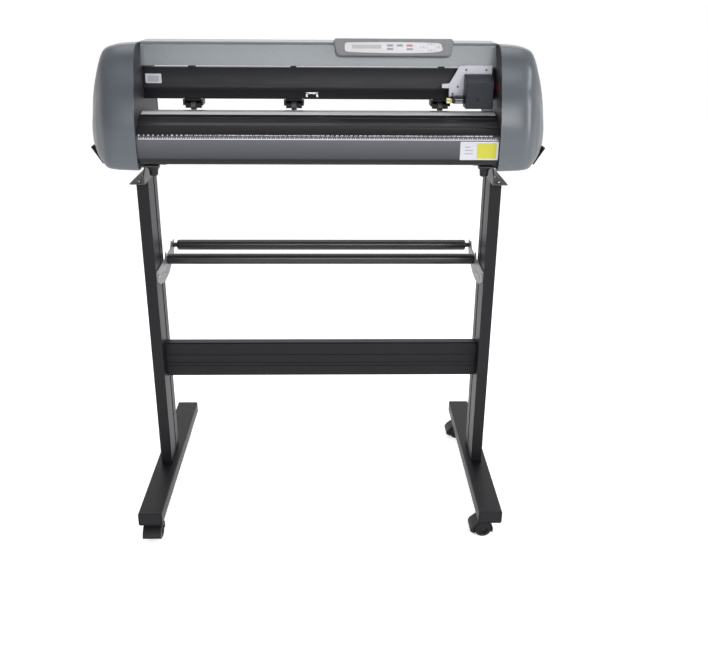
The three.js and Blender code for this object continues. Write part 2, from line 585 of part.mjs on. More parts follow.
// Rocking arm that holds a roller between two cheeks.
function pinchArm() {
  const half = PINCH_WIDTH / 2 - 4 - 0.5;
  const cheek = shapeOf([[PIVOT.y + 4, PIVOT.z - 4], [PIVOT.y + 4, PIVOT.z + 4],
    [ROLLER.y + 2, PIVOT.z + 1.5], [ROLLER.y - 6, ROLLER.z + 6], [ROLLER.y - 6, ROLLER.z - 4],
    [ROLLER.y + 3, ROLLER.z - 5]].reverse());
  const block = sweep(cheek, 'x', -half, half);
  const bayHalf = ROLLER.width / 2 + 1;
  const bay = box([-bayHalf, ROLLER.y - 30, 950], [bayHalf, ROLLER.y + 10.5, 1020]);
  const pinHole = rodX(PIVOT.radius + 0.4, -40, 40, 12).translate(0, PIVOT.y, PIVOT.z);
  const axleHole = rodX(2.4, -40, 40, 12).translate(0, ROLLER.y, ROLLER.z);
  return cut(block, bay, pinHole, axleHole);
}

function pinchRoller() {
  const [r, w, reach] = [ROLLER.radius, ROLLER.width / 2, PINCH_WIDTH / 2 - 5.5];
  return turned([[-reach, 0], [-reach, 2], [-w, 2], [-w, r - 1], [-w + 1, r], [w - 1, r], [w, r - 1], [w, 2],
    [reach, 2], [reach, 0]], 18);
}

function makePinch({ name, x }) {
  const group = new THREE.Group();
  group.position.x = x;
  model.add(group);
  part(`pinch_bracket_${name}`, pinchBracket(), COLOUR.black, 0.5, 0.2, group);
  part(`pinch_arm_${name}`, pinchArm(), COLOUR.black, 0.55, 0, group);
  const roller = part(`pinch_roller_${name}`, pinchRoller(), COLOUR.steel, 0.5, 0.3, group);
  roller.position.set(0, ROLLER.y, ROLLER.z);
}

// ---- drives and mains -----------------------------------------------------------------------

function makeMotor(name, x, y, z, side) {
  const body = sweep(roundedRect(57, 57, 5), 'x', 0, 52);
  const boss = rodX(19, -2, 1, 20);
  const shaft = rodX(4, 51, 51.5, 10);
  const geometry = join(body, boss, shaft);
  part(name, side > 0 ? geometry : mirrorX(geometry), COLOUR.black, 0.5, 0.4).position.set(x, y, z);
}

// Socket through the rear wall of the pan, with its rocker switch beside it.
function inletOpening() {
  return box([INLET.x - 26, INLET.wall - 4, INLET.z - 12], [INLET.x + 26, INLET.wall + 4, INLET.z + 12]);
}

function makeMains() {
  const { x, z, wall } = INLET;
  const flange = box([x - 30, wall + GAP, z - 15], [x + 30, wall + 3, z + 15]);
  const body = box([x - 25, wall - 16, z - 11.5], [x + 25, wall + 1, z + 11.5]);
  const socket = box([x - 23, wall - 13, z - 9.5], [x + 1, wall + 9, z + 9.5]);
  const bay = box([x + 4, wall - 8, z - 10], [x + 23, wall + 9, z + 10]);
  const pins = [[-19, -1], [-3, -1], [-11, 3.5]].map(([dx, dz]) => (
    box([x + dx - 1, wall - 14, z + dz - 2], [x + dx + 1, wall - 5, z + dz + 2])));
  part('mains_inlet', join(cut(join(flange, body), socket, bay), ...pins), COLOUR.rubber, 0.5, 0);
  const rocker = sweep(shapeOf([[-4, -9], [1.5, -9], [3.5, 0], [1.5, 9], [-4, 9]]), 'x', -9, 9);
  rocker.rotateX(THREE.MathUtils.degToRad(ROCKER_TILT));
  part('power_switch', rocker, COLOUR.rubber, 0.4, 0).position.set(x + 13.5, wall, z);
}

// ---- assembly -------------------------------------------------------------------------------

for (const [word, side] of [['left', -1], ['right', 1]]) {
  makeFoot(`${word}_foot`, side);
  makePost(`${word}_post`, side);
  makeTopBracket(`${word}_top_bracket`, side);
  makeRollBracket(`${word}_roll_bracket`, side);
  makeCover(`${word}_cover`, side);
  makeSidePlate(`${word}_side_plate`, side);
  makeHandle(`${word}_handle`, side);
}
makeCrossbar();
makeRod('front_roll_rod', ROD.frontY, ROD.frontZ);
makeRod('rear_roll_rod', ROD.rearY, ROD.rearZ);
makeCaster('front_left', -FOOT.x, CASTER.front, 180);
makeCaster('back_left', -FOOT.x, CASTER.rear, 90);
makeCaster('front_right', FOOT.x, CASTER.front, 90);
makeCaster('back_right', FOOT.x, CASTER.rear, 90);
makeTopCover();
makeBeam();
makePlaten();
makeApron();
makeBasePan();
makeDriveShaft();
model.add(consoleGroup);
makeConsoleHousing();
makeOverlay();
makeKeys();
makeCarriage();
PINCH.forEach(makePinch);
makeMotor('feed_motor', PLATE_INNER + PLATE.thick + 22, SHAFT.y, SHAFT_Z, 1);
makeMotor('carriage_motor', -PLATE_INNER - PLATE.thick - 4, 40, 1036, -1);
makeMains();

export default model;
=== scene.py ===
"""Looks of the vinyl cutter on its wheeled stand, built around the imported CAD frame. Metres, +Z up."""
import json
import math

import bmesh
import bpy
from mathutils import Matrix, Vector


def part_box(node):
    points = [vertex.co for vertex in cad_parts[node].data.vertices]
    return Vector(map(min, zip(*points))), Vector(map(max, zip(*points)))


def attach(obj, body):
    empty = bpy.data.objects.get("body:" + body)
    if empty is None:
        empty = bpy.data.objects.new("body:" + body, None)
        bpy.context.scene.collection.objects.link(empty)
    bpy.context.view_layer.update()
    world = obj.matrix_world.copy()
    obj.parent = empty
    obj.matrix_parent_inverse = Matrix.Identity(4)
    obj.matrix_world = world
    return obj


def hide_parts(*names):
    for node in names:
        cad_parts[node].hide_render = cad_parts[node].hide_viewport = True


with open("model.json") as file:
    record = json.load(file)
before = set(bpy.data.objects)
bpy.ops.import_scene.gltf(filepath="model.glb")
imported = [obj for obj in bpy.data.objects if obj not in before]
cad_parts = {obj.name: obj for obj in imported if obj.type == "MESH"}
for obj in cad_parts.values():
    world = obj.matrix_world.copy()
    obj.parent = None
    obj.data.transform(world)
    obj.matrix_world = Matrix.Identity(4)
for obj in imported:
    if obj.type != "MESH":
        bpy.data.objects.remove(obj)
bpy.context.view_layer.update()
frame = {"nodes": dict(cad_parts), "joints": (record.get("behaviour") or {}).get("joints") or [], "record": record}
MM = 0.001
SIDES = (("left", -1), ("right", 1))
PINCHES = ("left", "middle", "right")
CASTERS = ("front_left", "front_right", "back_left", "back_right")

# The camera recovered from the photograph: angles in degrees, lens in mm, place in metres.
YAW, PITCH, ROLL = 1.444, 22.61, 0.447
LENS, SENSOR = 43.31, 36.0
EYE = (0.0318, -1.9717, 1.2492)
# Soft boxes: name, place, target, width and height in metres, power in watts.
LIGHTS = (
    ("front_softbox", (0.35, -3.7, 2.1), (0, 0, 0.9), (3.0, 0.9), 90),
    ("side_softbox", (3.0, -1.6, 1.7), (0.3, 0, 0.8), (0.5, 1.8), 44),
    ("overhead", (0, 0.5, 3.2), (0, 0, 1.0), (2.6, 1.6), 26),
    ("back_softbox", (0, 3.2, 2.3), (0, 0, 1.1), (4.0, 1.2), 16),
)
FLOOR_HALF_WIDTH = 400.0
FLOOR_GLOW = 0.56
# Painted glow: emission that keeps the red lens bright where it sits in shade.
LENS_PAINTED_GLOW = 0.9
LENS_RED = (228, 24, 44)

# Places on the CAD solids that no box gives. (Y, Z) or (X, Z) pairs and single Y values are in mm.
# Painted reflection: the pale strip between these two places stands for the backdrop mirrored in the platen's
# slope.
PAINTED_REFLECTION_FRONT, PAINTED_REFLECTION_REAR = (0, -0.0755, 0.97165), (0, -0.0592, 0.97555)
NUMERAL_BASE = (0, -0.1331, 0.9315)
DISPLAY_X = 0.103
PINCH_SCREW_Z = 0.9985
BRACKET_X, FLANGE_X = 0.4, 0.367
PLATE_SCREWS = ((305, 1028), (294, 1013), (322, 1064), (366, 1064))
ROLL_SCREWS = ((-39, 590), (22, 576))
BRACKET_SCREWS_Y = (-88, -30, 30)
MOUNT_KNOBS_Y = (-84, 38)
ROD_NECK = 5.9 * MM
ROD_STEP = {"front_roll_rod": 4 * MM, "rear_roll_rod": 16 * MM}
KNOB_TEETH = 36


# ---- camera, floor and light ----------------------------------------------------------------

def make_camera():
    """The photograph's view: standing in front of the machine, a little right of its middle."""
    yaw, pitch, roll = (math.radians(angle) for angle in (YAW, PITCH, ROLL))
    data = bpy.data.cameras.new("camera")
    data.sensor_width = SENSOR
    data.lens = LENS
    data.clip_end = 50.0
    camera = bpy.data.objects.new("camera", data)
    tilt = Matrix.Rotation(math.pi / 2 - pitch, 4, "X") @ Matrix.Rotation(roll, 4, "Z")
    turn = Matrix.Rotation(-yaw, 4, "Z") @ tilt
    camera.matrix_world = Matrix.Translation(EYE) @ turn
    bpy.context.scene.collection.objects.link(camera)
    bpy.context.scene.camera = camera


def area_light(name, location, target, size, power):
    data = bpy.data.lights.new(name, "AREA")
    data.shape = "RECTANGLE"
    data.size, data.size_y = size
    data.energy = power
    light = bpy.data.objects.new(name, data)
    light.location = location
    light.rotation_euler = (Vector(target) - Vector(location)).to_track_quat("-Z", "Y").to_euler()
    bpy.context.scene.collection.objects.link(light)


def make_world():
    """White to the camera; to the machine it is bright on the far side and dim on the operator's."""
    world = bpy.data.worlds.new("studio")
    world.use_nodes = True
    tree = world.node_tree
    new, link = tree.nodes.new, tree.links.new
    background, output = tree.nodes["Background"], tree.nodes["World Output"]
    white = new("ShaderNodeBackground")
    mix = new("ShaderNodeMixShader")
    direction = new("ShaderNodeSeparateXYZ")
    ramp = new("ShaderNodeMapRange")
    for key, value in (("From Min", -0.5), ("From Max", 0.8), ("To Min", 0.16), ("To Max", 0.95)):
        ramp.inputs[key].default_value = value
    link(new("ShaderNodeTexCoord").outputs["Generated"], direction.inputs["Vector"])
    link(direction.outputs["Y"], ramp.inputs["Value"])
    link(ramp.outputs["Result"], background.inputs["Strength"])
    background.inputs["Color"].default_value = (1, 1, 1, 1)
    white.inputs["Color"].default_value = (1, 1, 1, 1)
    link(new("ShaderNodeLightPath").outputs["Is Camera Ray"], mix.inputs["Fac"])
    link(background.outputs["Background"], mix.inputs[1])
    link(white.outputs["Background"], mix.inputs[2])
    link(mix.outputs["Shader"], output.inputs["Surface"])
    bpy.context.scene.world = world


def make_studio():
    make_world()
    bpy.context.scene.view_settings.view_transform = "Standard"
    for light in LIGHTS:
        area_light(*light)
    bm = bmesh.new()
    bmesh.ops.create_grid(bm, x_segments=1, y_segments=1, size=FLOOR_HALF_WIDTH)
    mesh_object("floor", bm, floor_material())


# ---- material helpers -----------------------------------------------------------------------

class Nodes:
    """A short way to write a node tree around one Principled shader."""

    def __init__(self, name, metallic=0.0, specular=0.5, coat=0.0):
        self.material = bpy.data.materials.new(name)
        self.material.use_nodes = True
        self.tree = self.material.node_tree
        self.shader = self.tree.nodes["Principled BSDF"]
        self.shader.inputs["Metallic"].default_value = metallic
        self.shader.inputs["Specular IOR Level"].default_value = specular
        self.shader.inputs["Coat Weight"].default_value = coat

    def add(self, kind, **inputs):
        node = self.tree.nodes.new(kind)
        for key, value in inputs.items():
            node.inputs[key.replace("_", " ")].default_value = value
        return node

    def link(self, output, target):
        self.tree.links.new(output, target)

    def coordinates(self, scale=(1, 1, 1)):
        mapping = self.add("ShaderNodeMapping")
        mapping.inputs["Scale"].default_value = scale
        self.link(self.add("ShaderNodeTexCoord").outputs["Object"], mapping.inputs["Vector"])
        return mapping.outputs["Vector"]

    def noise(self, scale, detail=3.0, stretch=(1, 1, 1)):
        noise = self.add("ShaderNodeTexNoise", Scale=scale, Detail=detail)
        self.link(self.coordinates(stretch), noise.inputs["Vector"])
        return noise.outputs["Fac"]

    def ramp(self, factor, low, high, colour_low, colour_high):
        ramp = self.add("ShaderNodeValToRGB")
        first, last = ramp.color_ramp.elements
        first.position, last.position = low, high
        first.color = (*colour_low, 1)
        last.color = (*colour_high, 1)
        self.link(factor, ramp.inputs["Fac"])
        return ramp.outputs["Color"]

    def spread(self, factor, low, high):
        remap = self.add("ShaderNodeMapRange")
        for key, value in (("From Min", 0.3), ("From Max", 0.7), ("To Min", low), ("To Max", high)):
            remap.inputs[key].default_value = value
        self.link(factor, remap.inputs["Value"])
        return remap.outputs["Result"]

    def bump(self, height, strength, distance):
        bump = self.add("ShaderNodeBump", Strength=strength, Distance=distance)
        self.link(height, bump.inputs["Height"])
        self.link(bump.outputs["Normal"], self.shader.inputs["Normal"])


def shade(colour, factor):
    return tuple(min(1.0, c * factor) for c in colour)


def srgb(red, green, blue):
    """A colour given as 0 to 255 display values, as the linear values that shaders take."""
    return tuple(((v / 255 + 0.055) / 1.055) ** 2.4 if v > 10 else v / 3294.6 for v in (red, green, blue))


def finish_material(name, colour, roughness, spread=0.08, tint=0.06, grain=900.0, bump=0.15, depth=0.0002,
                    stretch=(1, 1, 1), metallic=0.0, specular=0.5, coat=0.0):
    """One family of finishes: a base colour with slow variation, a grain in the bump and the gloss."""
    n = Nodes(name, metallic, specular, coat)
    slow = n.noise(9.0, 4.0, stretch)
    fine = n.noise(grain, 2.0, stretch)
    tinted = n.ramp(slow, 0.3, 0.7, shade(colour, 1 - tint), shade(colour, 1 + tint))
    n.link(tinted, n.shader.inputs["Base Color"])
    n.link(n.spread(fine, roughness - spread / 2, roughness + spread / 2), n.shader.inputs["Roughness"])
    n.bump(fine, bump, depth)
    return n.material


def glow(material, colour, strength):
    shader = material.node_tree.nodes["Principled BSDF"]
    shader.inputs["Emission Color"].default_value = (*colour, 1)
    shader.inputs["Emission Strength"].default_value = strength


def floor_material():
    """White paper that is also lit a little from below, so that shadows on it stay faint."""
    material = finish_material("floor_paper", (0.9, 0.9, 0.9), 0.9, tint=0.004, bump=0.02, specular=0.1)
    glow(material, (1, 1, 1), FLOOR_GLOW)
    return material


def lens_material():
    """Red window with a painted glow that keeps it bright in the shade."""
    material = finish_material("red_lens", srgb(*LENS_RED), 0.2, grain=300.0, bump=0.02, coat=0.5)
    # Painted glow: emission so that the lens stays bright in shade.
    glow(material, srgb(*LENS_RED), LENS_PAINTED_GLOW)
    return material


def lcd_material():
    """Grey reflective display: faint rows of character cells under a clear window."""
    n = Nodes("lcd", coat=0.6, specular=0.4)
    brick = n.add("ShaderNodeTexBrick", Scale=1.0, Mortar_Size=0.02)
    brick.offset = 0.0
    brick.inputs["Brick Width"].default_value = 0.055
    brick.inputs["Row Height"].default_value = 0.38
    brick.inputs["Color1"].default_value = (*srgb(164, 164, 165), 1)
    brick.inputs["Color2"].default_value = (*srgb(156, 156, 158), 1)
    brick.inputs["Mortar"].default_value = (*srgb(175, 175, 176), 1)
    n.link(n.coordinates((16, 16, 16)), brick.inputs["Vector"])
    n.link(brick.outputs["Color"], n.shader.inputs["Base Color"])
    n.link(n.spread(n.noise(300.0), 0.22, 0.3), n.shader.inputs["Roughness"])
    return n.material


def apron_material():
    """Grey paint with painted shade: darker towards the bottom, and near black along the lower edge where the
    curled lip is in shadow.
    """
    material = finish_material("apron_paint", (0.1, 0.1, 0.1), 0.38, grain=700.0, bump=0.06, specular=0.3)
    nodes, links = material.node_tree.nodes, material.node_tree.links
    across = nodes.new("ShaderNodeSeparateXYZ")
    ramp = nodes.new("ShaderNodeValToRGB")
    links.new(nodes.new("ShaderNodeTexCoord").outputs["Generated"], across.inputs["Vector"])
    links.new(across.outputs["Z"], ramp.inputs["Fac"])
    # Painted shade: the near-black bottom stands for the shadowed curl, and the ramp above it for shade deepening
    # downwards.
    painted_shade_stops = ((0.0, (14, 14, 16)), (0.21, (14, 14, 16)), (0.27, (55, 56, 61)), (0.85, (84, 85, 91)))
    for extra in painted_shade_stops[2:]:
        ramp.color_ramp.elements.new(extra[0])
    for element, (position, colour) in zip(ramp.color_ramp.elements, painted_shade_stops):
        element.position = position
        element.color = (*srgb(*colour), 1)
    links.new(ramp.outputs["Color"], nodes["Principled BSDF"].inputs["Base Color"])
    return material


def grit_material():
    """Ground steel whose fine grain grips the media."""
    n = Nodes("grit_steel", metallic=0.9)
    fine = n.noise(1800.0, 4.0)
    n.link(n.ramp(fine, 0.35, 0.65, (0.30, 0.30, 0.31), (0.62, 0.62, 0.64)), n.shader.inputs["Base Color"])
    n.link(n.spread(fine, 0.4, 0.6), n.shader.inputs["Roughness"])
    n.bump(fine, 0.5, 0.0003)
    return n.material


M = {
    "cover": finish_material("cover_plastic", srgb(80, 85, 91), 0.32, grain=1400.0, bump=0.08),
    "console": finish_material("console_plastic", srgb(116, 116, 119), 0.42, grain=1400.0, bump=0.1),
    "top_cover": finish_material("top_cover_paint", srgb(94, 101, 106), 0.3, grain=700.0, bump=0.03),
    "apron": apron_material(),
    "bracket": finish_material("bracket_paint", srgb(56, 56, 60), 0.42, grain=900.0, bump=0.1, specular=0.4),
    "dark_sheet": finish_material("dark_sheet", srgb(52, 52, 57), 0.5, grain=800.0, bump=0.1, specular=0.3),
    "beam": finish_material("black_anodised", srgb(14, 15, 21), 0.38, grain=240.0, bump=0.05,
                            stretch=(0.04, 1, 1), specular=0.18),
    "platen": finish_material("platen_anodised", srgb(32, 31, 34), 0.32, grain=260.0, bump=0.05,
                              stretch=(0.04, 1, 1), specular=0.25),
    "stand": finish_material("powder_coat", srgb(20, 20, 24), 0.45, grain=1100.0, bump=0.3, depth=0.0003,
                             specular=0.22),
    "zinc": finish_material("zinc_paint", srgb(108, 108, 111), 0.4, grain=500.0, bump=0.08, metallic=0.3),
    "rod": finish_material("rod_black", srgb(30, 30, 32), 0.32, grain=300.0, bump=0.05, stretch=(0.05, 1, 1)),
    "silver": finish_material("silver_plate", srgb(180, 180, 189), 0.34, grain=600.0, bump=0.04,
                              stretch=(0.08, 1, 1), metallic=0.55),
    "navy": finish_material("carriage_plastic", srgb(25, 30, 40), 0.42, grain=1300.0, bump=0.12,
                            specular=0.3),
    "black": finish_material("black_plastic", srgb(18, 18, 20), 0.45, grain=1200.0, bump=0.15, specular=0.3),
    "wheel": finish_material("wheel_nylon", srgb(17, 17, 18), 0.5, grain=900.0, bump=0.2, specular=0.25),
    "rubber": finish_material("roller_rubber", srgb(70, 70, 73), 0.6, grain=1500.0, bump=0.3),
    "steel": finish_material("screw_steel", srgb(176, 176, 180), 0.3, grain=900.0, bump=0.05, metallic=0.9),
    # Pale colour that paints the backdrop's reflection on the platen's slope.
    "painted_reflection": finish_material("painted_reflection_film", srgb(222, 218, 222), 0.3, grain=900.0, stretch=(0.05, 1, 1)),
    "ink": finish_material("ink_print", srgb(84, 84, 92), 0.5, grain=900.0, bump=0.02),
    "strip": finish_material("strip_plastic", srgb(138, 135, 138), 0.4, grain=900.0, stretch=(0.05, 1, 1)),
    "film": finish_material("overlay_film", srgb(198, 198, 201), 0.42, grain=1800.0, bump=0.05),
    "key": finish_material("key_grey", srgb(150, 150, 156), 0.5, grain=1600.0, bump=0.08),
    "key_red": finish_material("key_red", srgb(196, 132, 128), 0.5, grain=1600.0, bump=0.08),
    "key_pale": finish_material("key_pale", srgb(196, 196, 199), 0.5, grain=1600.0, bump=0.08),
    "knob": finish_material("knob_brass", srgb(216, 207, 150), 0.38, grain=700.0, metallic=0.35),
    "label": finish_material("label_paper", srgb(182, 182, 190), 0.5, grain=900.0, bump=0.03),
    "white": finish_material("white_print", srgb(228, 228, 230), 0.5, grain=900.0, bump=0.03),
    "grey_print": finish_material("grey_print", srgb(150, 150, 156), 0.5, grain=900.0, bump=0.03),
    "yellow_print": finish_material("yellow_print", srgb(174, 170, 44), 0.5, grain=900.0, bump=0.03),
    "red_lens": lens_material(),
    "lcd": lcd_material(),
    "grit": grit_material(),
}


# ---- mesh helpers ---------------------------------------------------------------------------

def mesh_object(name, bm, material, angle=32.0):
    bmesh.ops.recalc_face_normals(bm, faces=bm.faces)
    mesh = bpy.data.meshes.new(name)
    bm.to_mesh(mesh)
    bm.free()
    mesh.materials.append(material)
    mesh.shade_smooth()
    mesh.set_sharp_from_angle(angle=math.radians(angle))
    obj = bpy.data.objects.new(name, mesh)
    bpy.context.scene.collection.objects.link(obj)
    return obj


def bevelled(obj, radius, segments=2, angle=30.0):
    bevel = obj.modifiers.new("edges", "BEVEL")
    bevel.width = radius
    bevel.segments = segments
    bevel.limit_method = "ANGLE"
    bevel.angle_limit = math.radians(angle)
    bevel.harden_normals = True
    bevel.miter_outer = "MITER_ARC"
    return obj


def place(obj, body, slot, *nodes):
    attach(obj, body)
    if nodes:
        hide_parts(*nodes)
    return obj


def body_of(node):
    return next(b for b, members in frame["record"]["behaviour"]["bodies"].items() if node in members)


def slot_of(node):
    return next(s["material_slot"] for s in frame["record"]["subparts"] if s["node"] == node)


def softened(node, radius, material, segments=2, angle=30.0):
    """The CAD solid itself with its triangles merged into flat faces and its edges rounded."""
    bm = bmesh.new()
    bm.from_mesh(frame["nodes"][node].data)
    bmesh.ops.remove_doubles(bm, verts=bm.verts, dist=1e-5)
    bmesh.ops.dissolve_limit(bm, angle_limit=math.radians(1.0), verts=bm.verts, edges=bm.edges)
    obj = mesh_object(node + "_finished", bm, material)
    bevelled(obj, radius, segments, angle)
    return place(obj, body_of(node), slot_of(node), node)


def verts_of(geometry):
    return [item for item in geometry if isinstance(item, bmesh.types.BMVert)]


def axes_of(direction, up=(0, 0, 1)):
    """A matrix whose Z is the direction and whose Y leans towards up."""
    z = Vector(direction).normalized()
    x = Vector(up).cross(z)
    if x.length < 1e-6:
        x = Vector((1, 0, 0)).cross(z) if abs(z.x) < 0.9 else Vector((0, 1, 0))
    x.normalize()
    return Matrix((x, z.cross(x), z)).transposed().to_4x4()


def lathe(name, profile, origin, direction, material, segments=32, angle=32.0):
    """Revolve (height, radius) points about a direction from an origin."""
    bm = bmesh.new()
    verts = [bm.verts.new((r, 0, h)) for h, r in profile]
    edges = [bm.edges.new(pair) for pair in zip(verts, verts[1:])]
    bmesh.ops.spin(bm, geom=verts + edges, cent=(0, 0, 0), axis=(0, 0, 1), angle=math.tau, steps=segments,
                   use_duplicate=False)
    bmesh.ops.remove_doubles(bm, verts=bm.verts, dist=1e-6)
    bm.transform(Matrix.Translation(origin) @ axes_of(direction))
    return mesh_object(name, bm, material, angle)


def slab(name, points, depth, matrix, material, radius=0.0, segments=2):
    """A flat outline in the matrix's XY plane, raised by depth along its Z."""
    bm = bmesh.new()
    face = bm.faces.new([bm.verts.new((x, y, 0)) for x, y in points])
    top = bmesh.ops.extrude_face_region(bm, geom=[face])["geom"]
    bmesh.ops.translate(bm, vec=(0, 0, depth), verts=verts_of(top))
    bm.transform(matrix)
    obj = mesh_object(name, bm, material)
    return bevelled(obj, radius, segments) if radius else obj


def round_rect(width, height, radius, steps=6):
    corners = ((1, 1, 0), (-1, 1, 90), (-1, -1, 180), (1, -1, 270))
    points = []
    for sx, sy, start in corners:
        for i in range(steps + 1):
            a = math.radians(start + 90 * i / steps)
            points.append((sx * (width / 2 - radius) + radius * math.cos(a),
                           sy * (height / 2 - radius) + radius * math.sin(a)))
    return points


def screw(name, origin, direction, radius, body, slot="zinc_plate", material=None):
    """Domed socket head with its driver hole sunk in the top."""
    h, r = 0.55 * radius, radius
    profile = [(0, r), (0.25 * h, r), (0.7 * h, 0.86 * r), (h, 0.5 * r), (0.95 * h, 0.42 * r),
               (0.45 * h, 0.40 * r), (0.42 * h, 0)]
    obj = lathe(name, profile, origin, direction, material or M["steel"], 20)
    return place(obj, body, slot)


def smooth_line(points, per_span=6):
    """Points along a Catmull-Rom curve through an open list of (a, b)."""
    line = [points[0], *points, points[-1]]
    result = []
    for p0, p1, p2, p3 in zip(line, line[1:], line[2:], line[3:]):
        for i in range(per_span):
            t = i / per_span
            result.append(tuple(0.5 * (2 * b + (c - a) * t + (2 * a - 5 * b + 4 * c - d) * t * t
                                       + (3 * b - a - 3 * c + d) * t ** 3)
                                for a, b, c, d in zip(p0, p1, p2, p3)))
    return [*result, points[-1]]


# ---- end covers -----------------------------------------------------------------------------

# Side outline in mm from the cover's lowest front corner: down the front edge, then up the rear one.
COVER_FRONT = [(90, 257), (72, 252), (55, 239), (43, 221), (30, 181), (17, 153), (7, 121), (1, 89), (0, 44),
               (2, 13), (9, 2.5), (20, 0), (36, 0), (39, 5)]
COVER_BACK = [(256, 5), (268, 19), (268, 139), (262, 205), (250, 229), (232, 243), (200, 250), (160, 254.5),
              (124, 257)]
# How far the outline has drawn in, in mm, at each distance from the open side: top, bottom, ends.
COVER_STATIONS = [(0, 0, 0, 0), (33, 2, 0.5, 1), (52, 5, 1.5, 3), (65, 10, 3, 8), (73, 17, 6, 15),
                  (81, 32, 13, 25), (90, 57, 22, 37), (98.5, 84, 32, 53), (104.5, 111, 42, 66),
                  (108.5, 134, 51, 77), (111, 155, 62, 92)]


def cover_ring(low, high, station):
    _, top, bottom, ends = station
    middle, half = (low.y + high.y) / 2, (high.y - low.y) / 2
    height = high.z - low.z
    ring = []
    for a, b in smooth_line(COVER_FRONT, 3) + smooth_line(COVER_BACK, 3):
        y, z = low.y + a * MM, b * MM
        ring.append((middle + (y - middle) * (half - ends * MM) / half,
                     low.z + bottom * MM + z * (height - (top + bottom) * MM) / height))
    return ring


def bridge(bm, first, second):
    count = len(first)
    for i in range(count):
        bm.faces.new((first[i], first[(i + 1) % count], second[(i + 1) % count], second[i]))


def make_cover(side_name, side):
    """Moulded shell: one smooth outer skin, a rounded inner rim and a return wall behind it."""
    node = side_name + "_cover"
    low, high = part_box(node)
    inner_x = low.x if side > 0 else high.x
    bm = bmesh.new()

    def ring_at(x, station, inset=0.0):
        grown = (station[0], *(value + inset for value in station[1:]))
        return [bm.verts.new((x, y, z)) for y, z in cover_ring(low, high, grown)]

    stations = smooth_line(COVER_STATIONS, 4)
    rings = [ring_at(inner_x + side * s[0] * MM, s) for s in stations]
    end_x = inner_x + side * stations[-1][0] * MM
    rings += [ring_at(end_x, stations[-1], inset) for inset in (6, 14)]
    for first, second in zip(rings, rings[1:]):
        bridge(bm, first, second)
    bm.faces.new(rings[-1])
    rim = ring_at(inner_x, stations[0], 3)
    lip = ring_at(inner_x + side * 14 * MM, stations[0], 3)
    bridge(bm, rings[0], rim)
    bridge(bm, rim, lip)
    obj = mesh_object(node + "_skin", bm, M["cover"], 50.0)
    bevelled(obj, 0.8 * MM, 2, 60)
    place(obj, "frame", "cover_plastic", node)


def make_cover_details(side_name, side):
    """A row of vents at the rear, drawn as black slabs that paint the shade inside the slots, and two screws in
    the outer end.
    """
    low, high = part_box(side_name + "_cover")
    outer = high.x if side > 0 else low.x
    inner = low.x if side > 0 else high.x
    for i in range(9):
        z = low.z + (34 + 11 * i) * MM
        # Painted shade: each vent is a flat black slab standing for the dark inside of a slot.
        vent = slab(f"{side_name}_vent_{i}", round_rect(40 * MM, 4.5 * MM, 2.2 * MM), 1.2 * MM,
                    Matrix.Translation((inner + side * 26 * MM, high.y - 1.25 * MM, z)) @ axes_of((0, 1, 0)),
                    M["black"], 0.3 * MM)
        place(vent, "frame", "cover_plastic")
    for k, (y, z) in enumerate(((-24, 10), (24, 10))):
        centre = Vector((outer - side * 1.7 * MM, (low.y + high.y) / 2 + y * MM, low.z + (72 + z) * MM))
        screw(f"{side_name}_cover_screw_{k}", centre, (side, 0, 0), 3.2 * MM, "frame", "cover_plastic")


# ---- machine body ---------------------------------------------------------------------------

def make_machine_sheets():
    softened("top_cover", 0.7 * MM, M["top_cover"])
    softened("front_apron", 0.5 * MM, M["apron"])
    softened("base_pan", 0.4 * MM, M["dark_sheet"])
    softened("platen", 0.35 * MM, M["platen"])
    softened("cutting_strip", 0.25 * MM, M["strip"])
    softened("guide_beam", 0.5 * MM, M["beam"])
    for name, _ in SIDES:
        softened(name + "_side_plate", 0.5 * MM, M["dark_sheet"])
        softened(name + "_handle", 1.6 * MM, M["black"], 3)


def raised(bm, points, height, matrix):
    """Add one flat printed shape, raised a little, to a mesh under construction."""
    face = bm.faces.new([bm.verts.new(matrix @ Vector((x, y, 0))) for x, y in points])
    top = bmesh.ops.extrude_face_region(bm, geom=[face])["geom"]
    offset = matrix.to_3x3() @ Vector((0, 0, height))
    bmesh.ops.translate(bm, vec=offset, verts=verts_of(top))


def rectangle(x, y, width, height):
    return [(x, y), (x + width, y), (x + width, y + height), (x, y + height)]


def make_platen_land():
    """Pale strip on the first slope in front of the cutting line: a painted reflection of the bright backdrop,
    seen there at a grazing angle.
    """
    low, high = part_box("platen")
    front, rear = Vector(PAINTED_REFLECTION_FRONT), Vector(PAINTED_REFLECTION_REAR)
    slope = (rear - front).normalized()
    matrix = Matrix.Translation(front) @ axes_of(Vector((1, 0, 0)).cross(slope), slope)
    half = (high.x - low.x) / 2 - 1 * MM
    depth = (rear - front).length
    outline = rectangle(-half, 0, 2 * half, depth)
    reflection_strip = slab("platen_painted_reflection", outline, 0.3 * MM, matrix, M["painted_reflection"], 0.1 * MM)
    place(reflection_strip, "frame", "platen_anodised")


